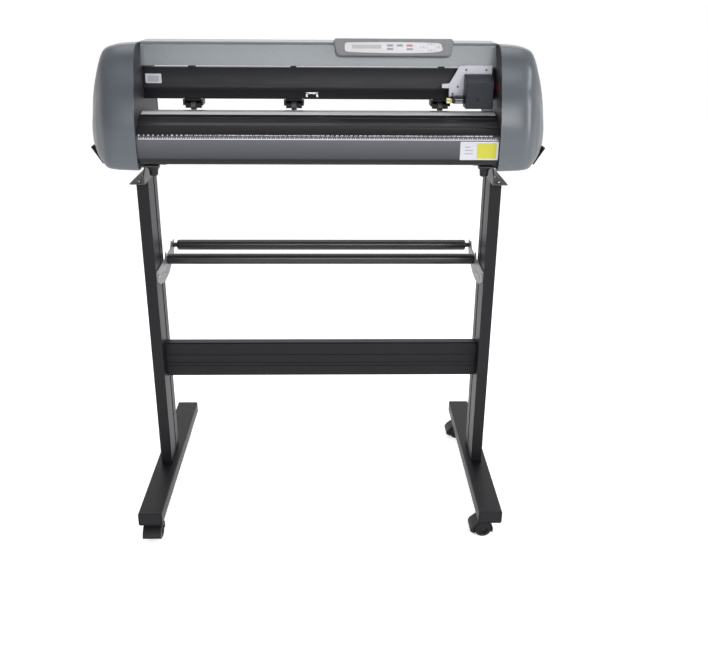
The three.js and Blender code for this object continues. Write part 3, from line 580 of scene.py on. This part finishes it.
def make_ruler():
    """White centimetre scale: ticks on the apron's sloped top edge, numerals on the table's front lip."""
    low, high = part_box("front_apron")
    length = high.x - low.x - 12 * MM
    slope = Matrix.Translation((0, low.y + 3.0 * MM, high.z - 3.7 * MM)) @ axes_of((0, -0.72, 0.69))
    lip = Matrix.Translation(NUMERAL_BASE) @ axes_of((0, -1, 0))
    print_depth = 0.12 * MM
    bm = bmesh.new()
    raised(bm, rectangle(-length / 2, -4.4 * MM, length, 1.5 * MM), print_depth, slope)
    pitch = 5 * MM
    for i in range(int(length / pitch) + 1):
        tall = 7.0 if i % 10 == 0 else 5.6 if i % 2 == 0 else 3.2
        tick = rectangle(-length / 2 + i * pitch - 0.6 * MM, -3.4 * MM, 1.2 * MM, tall * MM)
        raised(bm, tick, print_depth, slope)
    place(mesh_object("ruler_ticks", bm, M["white"]), "frame", "apron_paint")
    bm = bmesh.new()
    for centimetre in range(int(length / (10 * MM))):
        along = Matrix.Translation((centimetre * 10 * MM - length / 2, 0, 0))
        add_numeral(bm, str(centimetre), lip @ along)
    place(mesh_object("ruler_numerals", bm, M["white"]), "frame", "platen_anodised")


def add_numeral(bm, text, matrix):
    curve = bpy.data.curves.new("numeral", "FONT")
    curve.body = text
    curve.size = 8.5 * MM
    curve.offset = 0.35 * MM
    curve.align_x = "CENTER"
    curve.extrude = 0.08 * MM
    holder = bpy.data.objects.new("numeral", curve)
    mesh = bpy.data.meshes.new_from_object(holder)
    mesh.transform(matrix)
    bm.from_mesh(mesh)
    bpy.data.objects.remove(holder)
    bpy.data.curves.remove(curve)
    bpy.data.meshes.remove(mesh)


def sticker(name, low, size, parts, body="frame", slot="apron_paint"):
    """Thin printed sticker on a face that looks towards the operator: (material, x, z, width, height)."""
    base = Matrix.Translation(low) @ axes_of((0, -1, 0))
    for i, (material, x, z, width, height) in enumerate([("label", 0, 0, *size), *parts]):
        points = [(a + (x + width / 2) * MM, b + (z + height / 2) * MM)
                  for a, b in round_rect(width * MM, height * MM, min(1.5, height / 4) * MM, 3)]
        layer = slab(f"{name}_{i}", points, (0.12 + 0.06 * i) * MM, base, M[material])
        place(layer, body, slot)


def make_stickers():
    """Plain labels: one at the apron's right end and one at the beam's left end, and the beam's mark."""
    apron_low, apron_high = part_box("front_apron")
    corner = Vector((apron_high.x - 85 * MM, apron_low.y - 0.02 * MM, apron_high.z - 48.5 * MM))
    sticker("apron_sticker", corner, (82, 39),
            [("yellow_print", 36, 3, 42, 33), ("grey_print", 10, 12, 18, 3), ("grey_print", 10, 19, 18, 3),
             ("grey_print", 10, 26, 12, 3)])
    beam_low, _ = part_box("guide_beam")
    face = beam_low.y + 2.0 * MM - 0.02 * MM
    sticker("beam_sticker", Vector((beam_low.x + 6 * MM, face, beam_low.z + 33 * MM)), (35, 20),
            [("grey_print", 5, 3, 24, 13)], slot="black_anodised")
    on_beam = Matrix.Translation((-30 * MM, face, beam_low.z + 4.5 * MM)) @ axes_of((0, -1, 0))
    for i, (x, z, width, height) in enumerate(((0, 7, 27, 3.2), (0, 0, 4, 9), (23, 0, 4, 9))):
        points = rectangle(x * MM, z * MM, width * MM, height * MM)
        bar = slab(f"beam_mark_{i}", points, 0.12 * MM, on_beam, M["white"])
        place(bar, "frame", "black_anodised")


# ---- console --------------------------------------------------------------------------------

def console_matrix():
    """Frame of the console's tilted face: X along the machine, Z out of the face."""
    press = next(j for j in frame["joints"] if j["name"] == "key_a_press")["axis"]
    normal = -Vector(press)
    low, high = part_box("console_overlay")
    return Matrix.Translation((low + high) / 2) @ axes_of(normal, (0, 0.1, 1))


def membrane_outline(width, middle, end):
    """Long panel whose lower edge sags towards the middle and whose corners are round."""
    half = width / 2
    top = [(half - 9 * MM, end * 0.98), *((half * k, end + (middle - end) * 0.35 * (1 - k * k)) for k in
                                          (0.6, 0.3, 0, -0.3, -0.6)), (-half + 6 * MM, end * 0.98)]
    left = [(-half + 2 * MM, end * 0.84), (-half, end * 0.5), (-half, -end * 0.5),
            (-half + 2 * MM, -end * 0.84)]
    bottom = [(-half + 8 * MM, -end), *((half * k, -end - (middle - end) * (1 - k * k)) for k in
                                        (-0.7, -0.35, 0, 0.35, 0.7)), (half - 12 * MM, -end * 0.95)]
    right = [(half - 3 * MM, -end * 0.7), (half, -end * 0.25), (half - 1.5 * MM, end * 0.35),
             (half - 4 * MM, end * 0.75)]
    points = [*top, *left, *bottom, *right]
    return smooth_line([*points, points[0]], 4)[:-1]


def ring_slab(name, outer, inner, depth, matrix, material, radius):
    """A flat frame between two closed outlines, raised by depth."""
    bm = bmesh.new()
    edges = []
    for points in (outer, inner):
        verts = [bm.verts.new((x, y, 0)) for x, y in points]
        edges += [bm.edges.new(pair) for pair in zip(verts, verts[1:] + verts[:1])]
    faces = bmesh.ops.triangle_fill(bm, use_beauty=True, use_dissolve=True, edges=edges)["geom"]
    faces = [f for f in faces if isinstance(f, bmesh.types.BMFace)]
    top = bmesh.ops.extrude_face_region(bm, geom=faces)["geom"]
    bmesh.ops.translate(bm, vec=(0, 0, depth), verts=verts_of(top))
    bm.transform(matrix)
    return bevelled(mesh_object(name, bm, material), radius, 3, 40)


def make_console():
    """Housing, raised bezel, display and keys of the control panel."""
    face = console_matrix()
    softened("console_housing", 1.6 * MM, M["console"], 3)
    softened("console_overlay", 0.2 * MM, M["film"])
    low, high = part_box("console_overlay")
    centre = (low.x + high.x) / 2
    house_low, house_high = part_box("console_housing")
    half = (house_high.x - house_low.x) / 2
    corners = ((-0.985, 17), (-0.955, 21), (0.955, 21), (0.985, 17), (0.93, -17), (0.885, -21), (-0.885, -21),
               (-0.93, -17))
    outer = [(x * half, y * MM) for x, y in corners]
    bezel = ring_slab("console_bezel", outer, membrane_outline(212 * MM, 15.6 * MM, 12.4 * MM), 1.0 * MM,
                      face @ Matrix.Translation((0, 0, 0.45 * MM)), M["console"], 0.35 * MM)
    place(bezel, "frame", "console_plastic")

    def on_face(x, y, lift):
        return face @ Matrix.Translation((x - centre, y, lift))

    surround = slab("lcd_surround", round_rect(68 * MM, 13 * MM, 2 * MM), 0.25 * MM,
                    on_face(DISPLAY_X, 1.2 * MM, 0.5 * MM), M["key_pale"], 0.1 * MM)
    place(surround, "frame", "console_plastic")
    glass = slab("lcd_window", round_rect(63 * MM, 9.4 * MM, 1 * MM), 0.2 * MM,
                 on_face(DISPLAY_X, 1.2 * MM, 0.75 * MM), M["lcd"], 0.08 * MM)
    place(glass, "frame", "overlay_film")
    looks = {"key_c": "key_red", "jog_left": "key_pale", "jog_right": "key_pale", "jog_up": "key_pale",
             "jog_down": "key_pale"}
    for key in ("key_a", "key_b", "key_c", "key_d", "key_e", "jog_left", "jog_right", "jog_up", "jog_down"):
        softened(key, 0.3 * MM, M[looks.get(key, "key")])
        make_key_mark(key, face)


def make_key_mark(key, face):
    """Small printed sign on a key's cap: a bar, or an arrowhead on the direction keys."""
    low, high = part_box(key)
    middle = face.inverted() @ ((low + high) / 2)
    turns = {"jog_left": 90, "jog_down": 180, "jog_right": 270, "jog_up": 0}
    if key in turns:
        points = [(-1.5, -0.9), (1.5, -0.9), (0, 1.2)]
    else:
        points = [(-3.6, -0.5), (3.6, -0.5), (3.6, 0.5), (-3.6, 0.5)]
    matrix = face @ Matrix.Translation((middle.x, middle.y, 0.9 * MM)) @ Matrix.Rotation(
        math.radians(turns.get(key, 0)), 4, "Z")
    mark = slab(key + "_mark", [(x * MM, y * MM) for x, y in points], 0.06 * MM, matrix, M["ink"])
    place(mark, body_of(key), "key_plastic")


# ---- carriage -------------------------------------------------------------------------------

def make_carriage():
    """Knife carriage: bright plate, dark cover, tool clamp and the pointer's lens."""
    softened("carriage_plate", 0.4 * MM, M["silver"])
    softened("carriage_cover", 2.0 * MM, M["navy"], 4)
    softened("tool_holder", 0.7 * MM, M["black"])
    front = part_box("carriage_plate")[0].y
    for k, (x, z) in enumerate(PLATE_SCREWS):
        screw(f"plate_screw_{k}", Vector((x * MM, front, z * MM)), (0, -1, 0), 2.4 * MM, "carriage",
              "silver_plate", M["ink"])
    cover_low, cover_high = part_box("carriage_cover")
    middle = (cover_low.x + cover_high.x) / 2
    screw("carriage_cover_screw", Vector((middle - 4 * MM, cover_low.y, cover_low.z + 20 * MM)),
          (0, -1, 0), 2.6 * MM, "carriage", "carriage_plastic", M["navy"])
    dome = [(0, 5.5 * MM), (2.4 * MM, 5.5 * MM), (4.0 * MM, 4.2 * MM), (4.8 * MM, 2 * MM), (5.0 * MM, 0)]
    at = (cover_high.x, cover_low.y + 28 * MM, cover_low.z + 42 * MM)
    lens = lathe("pointer_lens", dome, at, (1, 0, 0), M["red_lens"])
    place(lens, "carriage", "carriage_plastic")
    tool_low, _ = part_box("tool_holder")
    for k in range(2):
        z = tool_low.z + (3.5 + 5 * k) * MM
        on_clamp = Matrix.Translation((tool_low.x + 14 * MM, tool_low.y, z)) @ axes_of((0, -1, 0))
        stripe = slab(f"clamp_band_{k}", round_rect(17 * MM, 1.6 * MM, 0.7 * MM, 3), 0.5 * MM, on_clamp,
                      M["steel"], 0.1 * MM)
        place(stripe, "tool", "silver_plate")
    make_knob()


def make_knob():
    """Knurled thumb screw: its rim is cut by fine teeth."""
    low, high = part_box("blade_clamp_knob")
    centre = (low + high) / 2
    radius = (high.z - low.z) / 2
    bm = bmesh.new()
    rings = []
    stations = ((0.0, 0.70), (0.4 * MM, 0.86), (1.2 * MM, 1.0), (8.6 * MM, 1.0), (9.6 * MM, 0.86),
                (10.2 * MM, 0.7), (12.4 * MM, 0.7))
    for h, share in stations:
        ring = []
        for i in range(2 * KNOB_TEETH):
            r = radius * share * (1.0 if i % 2 or share < 0.95 else 0.93)
            a = math.tau * i / (2 * KNOB_TEETH)
            ring.append(bm.verts.new((low.x + h, centre.y + r * math.cos(a), centre.z + r * math.sin(a))))
        rings.append(ring)
    for first, second in zip(rings, rings[1:]):
        bridge(bm, first, second)
    bm.faces.new(rings[0])
    bm.faces.new(rings[-1])
    knob = mesh_object("clamp_knob_knurled", bm, M["knob"], 25)
    place(knob, "clamp_knob", "knob_brass", "blade_clamp_knob")


# ---- pinch rollers --------------------------------------------------------------------------

def make_pinch(name):
    """Bracket and arm softened, with a turned roller, two screws and two hub rings."""
    bracket, arm, roller = (f"pinch_{kind}_{name}" for kind in ("bracket", "arm", "roller"))
    softened(bracket, 0.5 * MM, M["black"])
    softened(arm, 0.6 * MM, M["black"])
    low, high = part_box(roller)
    centre = (low + high) / 2
    half, r = (high.x - low.x) / 2, (high.z - low.z) / 2
    end = [(half, 0), (half, 1.6 * MM), (half - 0.4 * MM, 2 * MM), (7 * MM, 2 * MM), (6 * MM, 4 * MM),
           (6 * MM, r - 1 * MM), (5.4 * MM, r)]
    profile = [(-h, q) for h, q in end] + end[::-1]
    wheel = lathe(roller + "_turned", profile, centre, (1, 0, 0), M["rubber"], 36)
    place(wheel, f"pinch_roller_{name}", "roller_rubber", roller)
    bracket_low, bracket_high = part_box(bracket)
    for k, x in enumerate((bracket_low.x + 2.2 * MM, bracket_high.x - 2.2 * MM)):
        screw(f"pinch_screw_{name}_{k}", Vector((x, bracket_low.y, PINCH_SCREW_Z)), (0, -1, 0), 1.7 * MM,
              f"pinch_slider_{name}", "black_plastic")
    arm_low, arm_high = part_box(arm)
    for k, side in enumerate((-1, 1)):
        x = arm_low.x if side < 0 else arm_high.x
        ring = [(-1 * MM, 3.6 * MM), (0.1 * MM, 3.6 * MM), (0.3 * MM, 3.2 * MM), (0.3 * MM, 2.5 * MM)]
        at = (x, centre.y, centre.z)
        hub = lathe(f"pinch_hub_{name}_{k}", ring, at, (side, 0, 0), M["steel"])
        place(hub, f"pinch_arm_{name}", "black_plastic")


# ---- stand ----------------------------------------------------------------------------------

def make_stand():
    for name, side in SIDES:
        softened(name + "_foot", 0.8 * MM, M["stand"])
        softened(name + "_post", 0.9 * MM, M["stand"])
        softened(name + "_top_bracket", 0.5 * MM, M["bracket"])
        softened(name + "_roll_bracket", 0.5 * MM, M["zinc"])
        make_foot_caps(name)
        make_stand_screws(name, side)
    softened("crossbar", 0.7 * MM, M["stand"])


def make_foot_caps(name):
    low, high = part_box(name + "_foot")
    centre = (low + high) / 2
    width, height = high.x - low.x, high.z - low.z
    for word, end, y in (("front", -1, low.y), ("back", 1, high.y)):
        points = round_rect(width - 5 * MM, height - 5 * MM, 2.2 * MM, 4)
        matrix = Matrix.Translation((centre.x, y - end * 3 * MM, centre.z)) @ axes_of((0, end, 0))
        cap = slab(f"{name}_cap_{word}", points, 2.9 * MM, matrix, M["stand"], 0.8 * MM, 3)
        place(cap, "frame", "stand_powder_coat")


def make_stand_screws(name, side):
    post_low, post_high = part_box(name + "_post")
    plate_low, plate_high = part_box(name + "_roll_bracket")
    face = plate_low.x if side > 0 else plate_high.x
    for k, (y, z) in enumerate(ROLL_SCREWS):
        screw(f"{name}_roll_screw_{k}", Vector((face, y * MM, z * MM)), (-side, 0, 0), 4.2 * MM, "frame")
    bracket_low, bracket_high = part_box(name + "_top_bracket")
    for k, y in enumerate(BRACKET_SCREWS_Y):
        origin = Vector((side * BRACKET_X, y * MM, bracket_low.z + 3 * MM))
        screw(f"{name}_bracket_screw_{k}", origin, (0, 0, 1), 4.5 * MM, "frame")
    for k, y in enumerate(MOUNT_KNOBS_Y):
        top = Vector((side * FLANGE_X, y * MM, bracket_high.z - 3.1 * MM))
        make_thumb_screw(f"{name}_mount_knob_{k}", top)
    bar_low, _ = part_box("crossbar")
    outer = post_high.x if side > 0 else post_low.x
    for k, dz in enumerate((22, 78)):
        at = Vector((outer, bar_low.y + 12 * MM, bar_low.z + dz * MM))
        screw(f"{name}_bar_screw_{k}", at, (side, 0, 0), 4.5 * MM, "frame")


def make_thumb_screw(name, top):
    """Moulded knob below the bracket's flange that holds the machine down."""
    profile = [(0, 0), (0, 14.5 * MM), (3 * MM, 14.8 * MM), (5 * MM, 13.6 * MM), (7.5 * MM, 10.4 * MM),
               (15 * MM, 9.6 * MM), (20 * MM, 9.4 * MM), (22.4 * MM, 7.4 * MM), (23 * MM, 0)]
    place(lathe(name, profile, top, (0, 0, -1), M["black"], 28), "frame", "black_plastic")


def make_rods():
    """Steel tubes whose ends step down to a neck; the rear one's neck is longer."""
    for name, body in (("front_roll_rod", "front_rod"), ("rear_roll_rod", "rear_rod")):
        low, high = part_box(name)
        centre = (low + high) / 2
        half, r = (high.x - low.x) / 2, (high.z - low.z) / 2
        neck = ROD_NECK
        body_half = half - ROD_STEP[name]
        side = [(half, 0), (half, neck - 0.5 * MM), (half - 0.6 * MM, neck), (body_half + 3 * MM, neck),
                (body_half + 2.8 * MM, r - 5 * MM), (body_half + 1.4 * MM, r - 1.6 * MM),
                (body_half - 1 * MM, r - 0.3 * MM), (body_half - 3 * MM, r)]
        profile = [(-h, q) for h, q in side] + [(h, q) for h, q in reversed(side)]
        place(lathe(name + "_turned", profile, centre, (1, 0, 0), M["rod"], 40), body, "rod_black", name)


def make_caster(place_name):
    """Hood and twin wheels; the wheels get a rounded tread and a dished face."""
    hood, wheels = f"caster_hood_{place_name}", f"caster_wheels_{place_name}"
    softened(hood, 0.9 * MM, M["black"], 3, 40)
    joint = next(j for j in frame["joints"] if j["name"] == f"wheel_{place_name}")
    axis, centre = Vector(joint["axis"]), Vector(joint["pos_m"])
    solid = frame["nodes"][wheels]
    half = max((solid.matrix_world @ v.co - centre).dot(axis) for v in solid.data.vertices)
    low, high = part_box(wheels)
    r = (high.z - low.z) / 2
    near = 2.5 * MM
    rim = [(half - 3.2 * MM, 0), (half - 3.2 * MM, 0.42 * r), (half - 0.4 * MM, 0.5 * r), (half, 0.58 * r),
           (half - 0.8 * MM, 0.76 * r), (half - 3 * MM, 0.93 * r), (half - 6 * MM, r), (near + 0.8 * MM, r),
           (near, r - 1 * MM), (near, 3 * MM)]
    profile = [(-h, q) for h, q in rim] + [(h, q) for h, q in reversed(rim)]
    turned = lathe(wheels + "_turned", profile, centre, axis, M["wheel"], 48)
    place(turned, f"caster_wheel_{place_name}", "wheel_nylon", wheels)
    swivel = next(j for j in frame["joints"] if j["name"] == f"swivel_{place_name}")
    collar = [(0, 0), (0, 12.6 * MM), (0.5 * MM, 13 * MM), (2.2 * MM, 13 * MM), (2.7 * MM, 12.4 * MM),
              (2.7 * MM, 0)]
    base = Vector(swivel["pos_m"]) - Vector((0, 0, 2.8 * MM))
    ring = lathe(f"caster_collar_{place_name}", collar, base, (0, 0, 1), M["steel"], 28)
    place(ring, f"caster_fork_{place_name}", "ground_steel")


# ---- what is left of the CAD ----------------------------------------------------------------

def paint_cad():
    """Solids that keep their CAD shape get a look of their own."""
    looks = {"drive_shaft": "grit", "feed_motor": "black", "carriage_motor": "black", "mains_inlet": "black",
             "power_switch": "black"}
    for node, look in looks.items():
        data = frame["nodes"][node].data
        data.materials.clear()
        data.materials.append(M[look])


def main():
    make_camera()
    make_studio()
    for name, side in SIDES:
        make_cover(name, side)
        make_cover_details(name, side)
    make_machine_sheets()
    make_platen_land()
    make_ruler()
    make_stickers()
    make_console()
    make_carriage()
    for name in PINCHES:
        make_pinch(name)
    make_stand()
    make_rods()
    for name in CASTERS:
        make_caster(name)
    paint_cad()


main()
